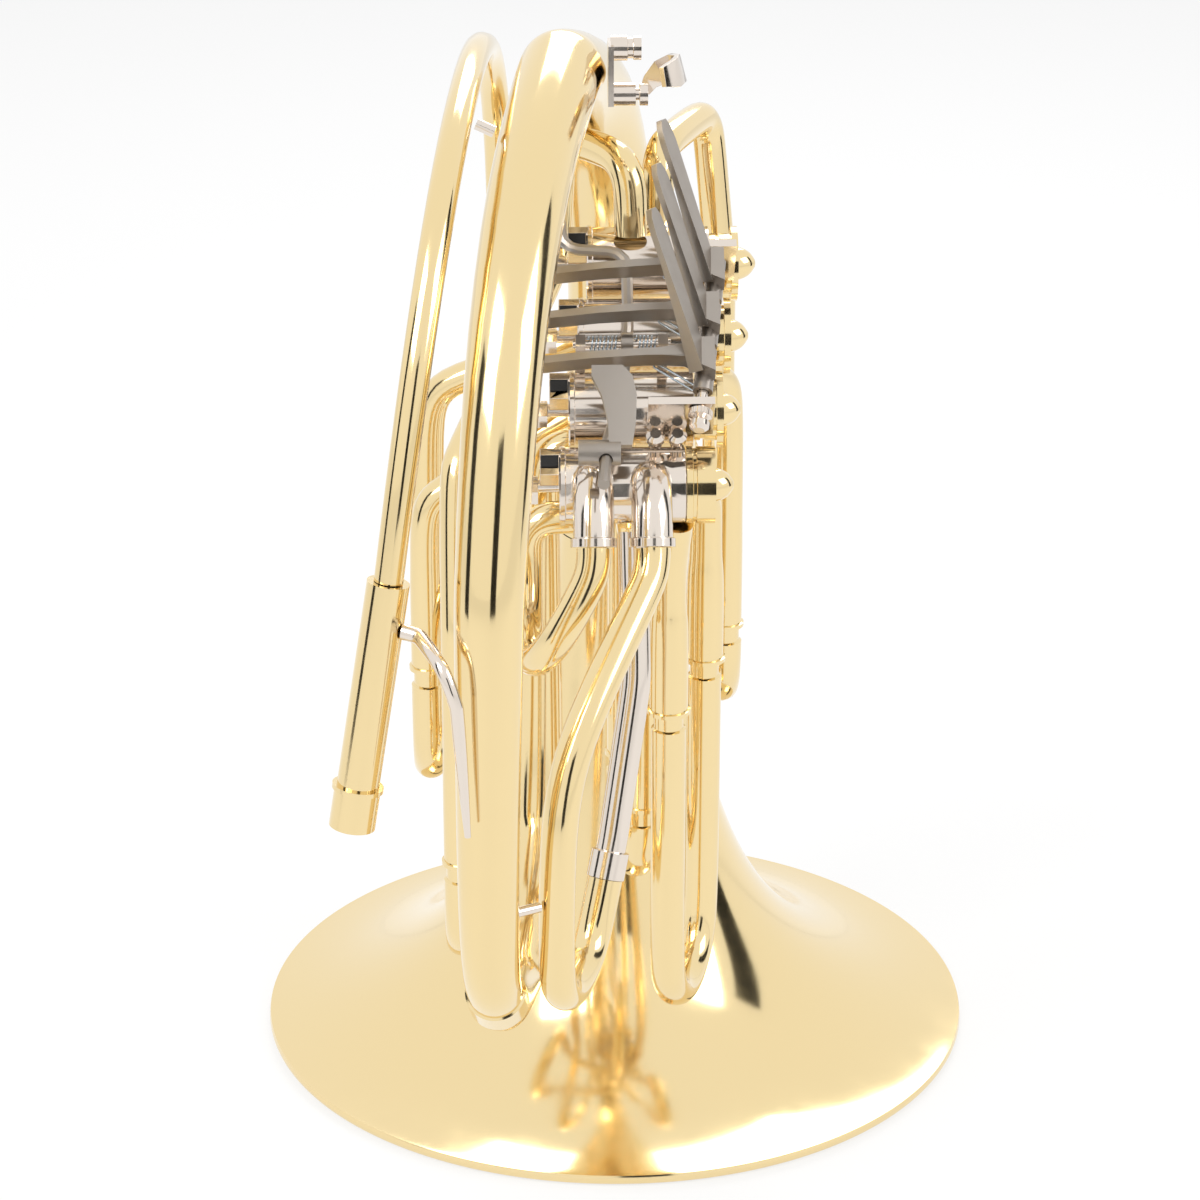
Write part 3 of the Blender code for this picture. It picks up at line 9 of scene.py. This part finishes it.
import bmesh
import bpy
from mathutils import Euler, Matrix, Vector


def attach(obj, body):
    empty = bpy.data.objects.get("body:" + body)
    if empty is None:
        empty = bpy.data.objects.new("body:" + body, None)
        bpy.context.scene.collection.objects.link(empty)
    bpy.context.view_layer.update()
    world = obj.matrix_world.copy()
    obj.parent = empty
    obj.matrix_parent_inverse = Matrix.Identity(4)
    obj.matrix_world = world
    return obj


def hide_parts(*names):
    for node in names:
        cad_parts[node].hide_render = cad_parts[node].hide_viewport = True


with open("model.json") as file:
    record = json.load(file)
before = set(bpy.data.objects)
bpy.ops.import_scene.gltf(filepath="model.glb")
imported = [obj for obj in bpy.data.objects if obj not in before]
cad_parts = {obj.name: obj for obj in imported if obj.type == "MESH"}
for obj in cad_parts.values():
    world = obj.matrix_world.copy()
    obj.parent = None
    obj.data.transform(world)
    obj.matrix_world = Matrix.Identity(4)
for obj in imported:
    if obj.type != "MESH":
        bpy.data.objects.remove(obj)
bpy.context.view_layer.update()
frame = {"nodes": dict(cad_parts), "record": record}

LOG = logging.getLogger("horn")
MM = 0.001


class Skin(Enum):
    """How a solid's surface is finished."""

    ROUND = "round"
    WIRE = "wire"
    PLATE = "plate"


@dataclass(frozen=True)
class Metal:
    """A metal finish with fine wear in its gloss.

    Attributes:
        name: Material name.
        colour: Base colour, linear.
        roughness: Roughness of the cleanest spots.
        wear: How much rougher the dullest spots are.
        grain: Noise scale of the wear, per metre.
        relief: Strength of the fine relief.
        coat: Weight of the clear lacquer.
    """

    name: str
    colour: tuple[float, float, float]
    roughness: float
    wear: float
    grain: float
    relief: float
    coat: float = 0.0

    def material(self) -> bpy.types.Material:
        """Build the material, or return it if it is made.

        Returns:
            The Blender material.
        """
        found = bpy.data.materials.get(self.name)
        if found:
            return found
        made = bpy.data.materials.new(self.name)
        made.use_nodes = True
        nodes, links = made.node_tree.nodes, made.node_tree.links
        shader = nodes["Principled BSDF"]
        shader.inputs["Base Color"].default_value = (*self.colour, 1.0)
        shader.inputs["Metallic"].default_value = 1.0
        shader.inputs["Coat Weight"].default_value = self.coat
        shader.inputs["Coat Roughness"].default_value = 0.06
        place = nodes.new("ShaderNodeTexCoord")
        noise = nodes.new("ShaderNodeTexNoise")
        noise.inputs["Scale"].default_value = self.grain
        noise.inputs["Detail"].default_value = 6.0
        links.new(place.outputs["Object"], noise.inputs["Vector"])
        spread = nodes.new("ShaderNodeMapRange")
        spread.inputs["From Min"].default_value = 0.35
        spread.inputs["From Max"].default_value = 0.75
        spread.inputs["To Min"].default_value = self.roughness
        spread.inputs["To Max"].default_value = self.roughness + self.wear
        links.new(noise.outputs["Fac"], spread.inputs["Value"])
        links.new(spread.outputs["Result"], shader.inputs["Roughness"])
        fine = nodes.new("ShaderNodeTexNoise")
        fine.inputs["Scale"].default_value = self.grain * 12
        fine.inputs["Detail"].default_value = 3.0
        links.new(place.outputs["Object"], fine.inputs["Vector"])
        bump = nodes.new("ShaderNodeBump")
        bump.inputs["Strength"].default_value = self.relief
        bump.inputs["Distance"].default_value = 0.0001
        links.new(fine.outputs["Fac"], bump.inputs["Height"])
        links.new(bump.outputs["Normal"], shader.inputs["Normal"])
        return made


@dataclass(frozen=True)
class Cork:
    """Black stop material with a pitted face."""

    name: str = "black_cork"

    def material(self) -> bpy.types.Material:
        """Build the material, or return it if it is made.

        Returns:
            The Blender material.
        """
        found = bpy.data.materials.get(self.name)
        if found:
            return found
        made = bpy.data.materials.new(self.name)
        made.use_nodes = True
        nodes, links = made.node_tree.nodes, made.node_tree.links
        shader = nodes["Principled BSDF"]
        shader.inputs["Base Color"].default_value = (0.02, 0.02, 0.02, 1.0)
        shader.inputs["Roughness"].default_value = 0.8
        place = nodes.new("ShaderNodeTexCoord")
        cells = nodes.new("ShaderNodeTexVoronoi")
        cells.inputs["Scale"].default_value = 1500.0
        links.new(place.outputs["Object"], cells.inputs["Vector"])
        bump = nodes.new("ShaderNodeBump")
        bump.inputs["Strength"].default_value = 0.5
        bump.inputs["Distance"].default_value = 0.0002
        links.new(cells.outputs["Distance"], bump.inputs["Height"])
        links.new(bump.outputs["Normal"], shader.inputs["Normal"])
        return made


BRASS = Metal("lacquered_brass", (0.88, 0.70, 0.38), 0.09, 0.06, 60.0, 0.02, 0.35)
NICKEL = Metal("polished_nickel", (0.80, 0.72, 0.64), 0.10, 0.06, 80.0, 0.02)
LEVER = Metal("satin_nickel", (0.40, 0.36, 0.32), 0.30, 0.12, 220.0, 0.06)
STEEL = Metal("spring_steel", (0.50, 0.56, 0.62), 0.20, 0.08, 300.0, 0.03)
CORK = Cork()


@dataclass
class SubAssembly:
    """A group of solids with one finish.

    Attributes:
        nodes: Names of the solids.
        finish: Their finish.
        slot: Their material slot in the record. Not used.
        skin: How their surfaces are made smooth.
        bevel: Radius of softened edges on plates, metres.
    """

    nodes: tuple[str, ...]
    finish: Metal | Cork
    slot: str
    skin: Skin = Skin.ROUND
    bevel: float = 0.3 * MM

    def build(self) -> list[bpy.types.Object]:
        """Make the visible pieces of the group.

        Returns:
            The pieces, each riding on its solid's body.
        """
        made = [self.dress(node) for node in self.nodes]
        LOG.info("%s: %d pieces", type(self).__name__, len(made))
        return made

    def sharp_angle(self) -> float:
        """Angle over which an edge stays sharp, in radians."""
        return math.radians({Skin.ROUND: 52, Skin.WIRE: 80, Skin.PLATE: 32}[self.skin])

    def dress(self, node: str) -> bpy.types.Object:
        """Make one smooth piece over a solid.

        Args:
            node: Name of the solid.

        Returns:
            The piece.
        """
        mesh = self.merged_mesh(node)
        piece = bpy.data.objects.new(node + "_finished", mesh)
        bpy.context.scene.collection.objects.link(piece)
        if self.skin is Skin.PLATE:
            self.soften(piece)
        else:
            self.round_off(piece)
        mesh.materials.clear()
        mesh.materials.append(self.finish.material())
        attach(piece, body_with(node))
        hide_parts(node)
        return piece

    def merged_mesh(self, node: str) -> bpy.types.Mesh:
        """Copy a solid's mesh with its doubles merged and its flats whole.

        Args:
            node: Name of the solid.

        Returns:
            The new mesh.
        """
        work = bmesh.new()
        work.from_mesh(frame["nodes"][node].data)
        bmesh.ops.remove_doubles(work, verts=work.verts, dist=0.00001)
        if self.skin is Skin.PLATE:
            bmesh.ops.dissolve_limit(work, angle_limit=math.radians(0.6), verts=work.verts, edges=work.edges)
        else:
            bmesh.ops.join_triangles(
                work,
                faces=[f for f in work.faces if len(f.verts) == 3],
                angle_face_threshold=math.radians(40),
                angle_shape_threshold=math.radians(60),
            )
        crease = work.edges.layers.float.new("crease_edge")
        limit = self.sharp_angle()
        for edge in work.edges:
            sharp = len(edge.link_faces) == 2 and edge.calc_face_angle() > limit
            edge.smooth = not sharp
            edge[crease] = 1.0 if sharp else 0.0
        for face in work.faces:
            face.smooth = True
        mesh = bpy.data.meshes.new(node + "_finished")
        work.to_mesh(mesh)
        work.free()
        return mesh

    def round_off(self, piece: bpy.types.Object) -> None:
        """Subdivide a round piece so that its facets go.

        Args:
            piece: The piece.
        """
        step = piece.modifiers.new("round", "SUBSURF")
        step.levels = 2
        step.render_levels = 2

    def soften(self, piece: bpy.types.Object) -> None:
        """Give a plate small round edges.

        Args:
            piece: The piece.
        """
        edge = piece.modifiers.new("edges", "BEVEL")
        edge.width = self.bevel
        edge.segments = 2
        edge.limit_method = "ANGLE"
        edge.angle_limit = math.radians(50)
        edge.harden_normals = True


class BellAndLoop(SubAssembly):
    """Bell, tail and first branch."""


class Tubing(SubAssembly):
    """Tubes between valves, slides and leadpipe."""


class Slides(SubAssembly):
    """Bows with their inner legs."""


class Fittings(SubAssembly):
    """Braces, saddle, clip and the bright leg."""


class Valves(SubAssembly):
    """Casings, rotors and stands."""


class Caps(SubAssembly):
    """Valve caps."""


class Levers(SubAssembly):
    """Finger levers, thumb lever and links."""


class Springs(SubAssembly):
    """Hairpin and coil springs."""


class Stops(SubAssembly):
    """Stop blocks."""


@dataclass
class KnurledRing:
    """Ribs round the knob at the end of the hinge rod.

    Attributes:
        centre: Centre of the ring, metres.
        axis: Direction of the rod.
        radius: Radius on which the ribs stand.
        length: Length of a rib.
        rib_radius: Radius of a rib.
        count: How many ribs go round.
    """

    centre: Vector
    axis: Vector
    radius: float = 4.1 * MM
    length: float = 2.2 * MM
    rib_radius: float = 0.3 * MM
    count: int = 30

    def tree(self) -> bpy.types.GeometryNodeTree:
        """Build the node tree that sets the ribs in a ring.

        Returns:
            The node tree.
        """
        tree = bpy.data.node_groups.new("knurl_ribs", "GeometryNodeTree")
        face = tree.interface
        face.new_socket("Geometry", in_out="INPUT", socket_type="NodeSocketGeometry")
        face.new_socket("Count", in_out="INPUT", socket_type="NodeSocketInt")
        for name in ("Radius", "Length", "Rib Radius"):
            face.new_socket(name, in_out="INPUT", socket_type="NodeSocketFloat")
        face.new_socket("Centre", in_out="INPUT", socket_type="NodeSocketVector")
        face.new_socket("Turn", in_out="INPUT", socket_type="NodeSocketVector")
        face.new_socket("Geometry", in_out="OUTPUT", socket_type="NodeSocketGeometry")
        nodes, links = tree.nodes, tree.links
        given = nodes.new("NodeGroupInput")
        result = nodes.new("NodeGroupOutput")
        ring = nodes.new("GeometryNodeMeshCircle")
        rib = nodes.new("GeometryNodeMeshCylinder")
        rib.inputs["Vertices"].default_value = 8
        place = nodes.new("GeometryNodeInstanceOnPoints")
        turn = nodes.new("GeometryNodeTransform")
        real = nodes.new("GeometryNodeRealizeInstances")
        finish = nodes.new("GeometryNodeSetMaterial")
        finish.inputs["Material"].default_value = NICKEL.material()
        links.new(given.outputs["Count"], ring.inputs["Vertices"])
        links.new(given.outputs["Radius"], ring.inputs["Radius"])
        links.new(given.outputs["Rib Radius"], rib.inputs["Radius"])
        links.new(given.outputs["Length"], rib.inputs["Depth"])
        links.new(ring.outputs["Mesh"], place.inputs["Points"])
        links.new(rib.outputs["Mesh"], place.inputs["Instance"])
        links.new(place.outputs["Instances"], turn.inputs["Geometry"])
        links.new(given.outputs["Centre"], turn.inputs["Translation"])
        links.new(given.outputs["Turn"], turn.inputs["Rotation"])
        links.new(turn.outputs["Geometry"], real.inputs["Geometry"])
        links.new(real.outputs["Geometry"], finish.inputs["Geometry"])
        links.new(finish.outputs["Geometry"], result.inputs["Geometry"])
        return tree

    def build(self, body: str) -> bpy.types.Object:
        """Make the ribs as a plain mesh.

        Args:
            body: The body that they ride on.

        Returns:
            The piece.
        """
        host = bpy.data.objects.new("knurl_host", bpy.data.meshes.new("knurl_host"))
        bpy.context.scene.collection.objects.link(host)
        step = host.modifiers.new("ribs", "NODES")
        step.node_group = self.tree()
        turn = self.axis.to_track_quat("Z", "Y").to_euler()
        values = {
            "Count": self.count,
            "Radius": self.radius,
            "Length": self.length,
            "Rib Radius": self.rib_radius,
            "Centre": tuple(self.centre),
            "Turn": tuple(turn),
        }
        for item in step.node_group.interface.items_tree:
            if item.in_out == "INPUT" and item.name in values:
                step[item.identifier] = values[item.name]
        graph = bpy.context.evaluated_depsgraph_get()
        mesh = bpy.data.meshes.new_from_object(host.evaluated_get(graph))
        bpy.data.objects.remove(host)
        piece = bpy.data.objects.new("knob_ribs", mesh)
        bpy.context.scene.collection.objects.link(piece)
        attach(piece, body)
        LOG.info("knob ribs: %d", self.count)
        return piece


@dataclass
class Studio:
    """Floor, soft lights, dark reflections and camera.

    Attributes:
        camera_place: Camera position, metres.
        camera_pitch: Angle that the camera looks down, degrees.
        camera_yaw: Angle that it looks to the right, degrees.
        lens: Focal length for a 36 mm sensor.
        floor_glow: Share of plain white in the floor as the camera sees it.
    """

    camera_place: tuple[float, float, float] = (-0.0391, -1.32073, 0.770)
    camera_pitch: float = 22.259
    camera_yaw: float = 1.327
    lens: float = 106.1
    floor_glow: float = 0.72

    def build(self) -> None:
        """Make everything round the horn."""
        scene = bpy.context.scene
        scene.view_settings.view_transform = "Standard"
        self.world(scene)
        self.floor()
        self.light("key", (-0.9, -1.02, 1.5), 0.9, 16.0)
        self.light("fill", (1.3, -0.62, 1.1), 0.8, 9.0)
        self.light("back", (0.2, 1.48, 1.5), 1.0, 12.0)
        self.flag("flag_left", (-1.3, -0.52, 0.4), (0.35, 1.6))
        self.flag("flag_front", (0.25, -1.82, 0.35), (0.5, 1.6))
        self.flag("flag_right", (1.4, 0.18, 0.5), (0.35, 1.6))
        self.camera(scene)

    def world(self, scene: bpy.types.Scene) -> None:
        """White surroundings for the eye and for reflections, softer for light.

        Args:
            scene: The scene.
        """
        world = bpy.data.worlds.new("studio")
        scene.world = world
        world.use_nodes = True
        nodes, links = world.node_tree.nodes, world.node_tree.links
        base = nodes["Background"]
        base.inputs["Color"].default_value = (1.0, 1.0, 1.0, 1.0)
        base.inputs["Strength"].default_value = 0.6
        seen = nodes.new("ShaderNodeBackground")
        seen.inputs["Color"].default_value = (1.0, 1.0, 1.0, 1.0)
        mix = nodes.new("ShaderNodeMixShader")
        links.new(self.seen_directly(world.node_tree), mix.inputs["Fac"])
        links.new(base.outputs[0], mix.inputs[1])
        links.new(seen.outputs[0], mix.inputs[2])
        links.new(mix.outputs[0], nodes["World Output"].inputs["Surface"])

    def seen_directly(self, tree: bpy.types.NodeTree) -> bpy.types.NodeSocket:
        """Mark the rays that show a surface: from the camera, mirrored or passing through.

        Args:
            tree: The node tree to add the nodes to.

        Returns:
            A socket that is 1 on such a ray and 0 on any other.
        """
        path = tree.nodes.new("ShaderNodeLightPath")
        total = path.outputs["Is Camera Ray"]
        for name in ("Is Glossy Ray", "Is Transmission Ray"):
            step = tree.nodes.new("ShaderNodeMath")
            step.operation = "ADD"
            step.use_clamp = True
            tree.links.new(total, step.inputs[0])
            tree.links.new(path.outputs[name], step.inputs[1])
            total = step.outputs[0]
        return total

    def floor(self) -> None:
        """Pale floor under the rim."""
        bpy.ops.mesh.primitive_plane_add(size=30.0, location=(0.0, 0.0, -0.0004))
        plane = bpy.context.object
        plane.name = "floor"
        paint = bpy.data.materials.new("pale_floor")
        paint.use_nodes = True
        shader = paint.node_tree.nodes["Principled BSDF"]
        shader.inputs["Base Color"].default_value = (0.93, 0.93, 0.93, 1.0)
        shader.inputs["Roughness"].default_value = 0.7
        nodes, links = paint.node_tree.nodes, paint.node_tree.links
        glow = nodes.new("ShaderNodeEmission")
        glow.inputs["Color"].default_value = (1.0, 1.0, 1.0, 1.0)
        share = nodes.new("ShaderNodeMath")
        share.operation = "MULTIPLY"
        share.inputs[1].default_value = self.floor_glow
        mix = nodes.new("ShaderNodeMixShader")
        links.new(self.seen_directly(paint.node_tree), share.inputs[0])
        links.new(share.outputs[0], mix.inputs["Fac"])
        links.new(shader.outputs[0], mix.inputs[1])
        links.new(glow.outputs[0], mix.inputs[2])
        links.new(mix.outputs[0], nodes["Material Output"].inputs["Surface"])
        plane.data.materials.append(paint)

    def light(self, name: str, place: tuple[float, float, float], size: float, power: float) -> None:
        """Soft square light that points at the horn.

        Args:
            name: Name of the light.
            place: Position, metres.
            size: Side of the square, metres.
            power: Watts.
        """
        data = bpy.data.lights.new(name, "AREA")
        data.size = size
        data.energy = power
        lamp = bpy.data.objects.new(name, data)
        bpy.context.scene.collection.objects.link(lamp)
        lamp.location = place
        aim = Vector((-0.02, 0.0, 0.22)) - Vector(place)
        lamp.rotation_euler = aim.to_track_quat("-Z", "Y").to_euler()

    def flag(self, name: str, place: tuple[float, float, float], size: tuple[float, float]) -> None:
        """Black card that only reflections show.

        Args:
            name: Name of the card.
            place: Position, metres.
            size: Width and height, metres.
        """
        bpy.ops.mesh.primitive_plane_add(size=1.0, location=place)
        card = bpy.context.object
        card.name = name
        card.scale = (size[0], size[1], 1.0)
        aim = Vector((0.0, 0.0, place[2])) - Vector(place)
        card.rotation_euler = aim.to_track_quat("Z", "Y").to_euler()
        card.visible_camera = False
        card.visible_shadow = False
        card.visible_diffuse = False
        paint = bpy.data.materials.new(name)
        paint.use_nodes = True
        shader = paint.node_tree.nodes["Principled BSDF"]
        shader.inputs["Base Color"].default_value = (0.01, 0.01, 0.01, 1.0)
        shader.inputs["Roughness"].default_value = 1.0
        card.data.materials.append(paint)

    def camera(self, scene: bpy.types.Scene) -> None:
        """Camera at the photograph's place.

        Args:
            scene: The scene.
        """
        data = bpy.data.cameras.new("camera")
        data.sensor_width = 36.0
        data.lens = self.lens
        data.clip_start = 0.05
        eye = bpy.data.objects.new("camera", data)
        scene.collection.objects.link(eye)
        eye.location = self.camera_place
        pitch, yaw = math.radians(90 - self.camera_pitch), -math.radians(self.camera_yaw)
        eye.rotation_euler = Euler((pitch, 0.0, yaw))
        scene.camera = eye


def body_with(node: str) -> str:
    """Find the body that holds a solid.

    Args:
        node: Name of the solid.

    Returns:
        Name of the body.
    """
    for body, nodes in frame["record"]["behaviour"]["bodies"].items():
        if node in nodes:
            return body
    raise KeyError(node)


def each(stem: str, ends: tuple[str, ...]) -> tuple[str, ...]:
    """Names made of a stem and each ending."""
    return tuple(stem + end for end in ends)


VALVES = ("first", "second", "third", "change")
FINGERS = VALVES[:3]


def main() -> None:
    """Build the horn's pieces and the studio."""
    logging.basicConfig(level=logging.INFO, format="%(name)s %(message)s")
    BellAndLoop(("bell", "bell_tail", "first_branch"), BRASS, "brass").build()
    tubes = each("tube_", ("f_near", "f_far", "second_near", "second_far", "third_near", "third_far"))
    tubes += each("tube_", ("upper_near", "upper_far", "main_near", "long"))
    Tubing(tubes + ("leadpipe", "receiver", "crook_first"), BRASS, "brass").build()
    Slides(each("slide_", ("main", "f", "second", "third", "upper")), BRASS, "brass").build()
    Fittings(("receiver_brace", "leadpipe_saddle", "tail_clip", "leg_nickel"), NICKEL, "nickel").build()
    Valves(each("casing_", VALVES) + each("rotor_", VALVES), NICKEL, "nickel", Skin.PLATE).build()
    Valves(("lever_stand", "thumb_stand", "hook_base", "finger_hook"), NICKEL, "nickel", Skin.PLATE).build()
    Caps(each("cap_", VALVES), BRASS, "brass").build()
    Levers(each("lever_", FINGERS) + each("link_", VALVES), LEVER, "lever", Skin.PLATE, 0.5 * MM).build()
    Levers(("thumb_lever", "thumb_paddle"), LEVER, "lever", Skin.PLATE, 0.4 * MM).build()
    Springs(each("spring_", FINGERS) + ("coil_left", "coil_right"), STEEL, "steel", Skin.WIRE).build()
    Stops(each("cork_", VALVES), CORK, "cork", Skin.PLATE, 0.4 * MM).build()
    ribs = KnurledRing(Vector((0.02473, -0.12229, 0.35094)), Vector((0.119, 0.7493, 0.6514)))
    ribs.build(body_with("lever_stand"))
    Studio().build()


if __name__ == "__main__":
    main()
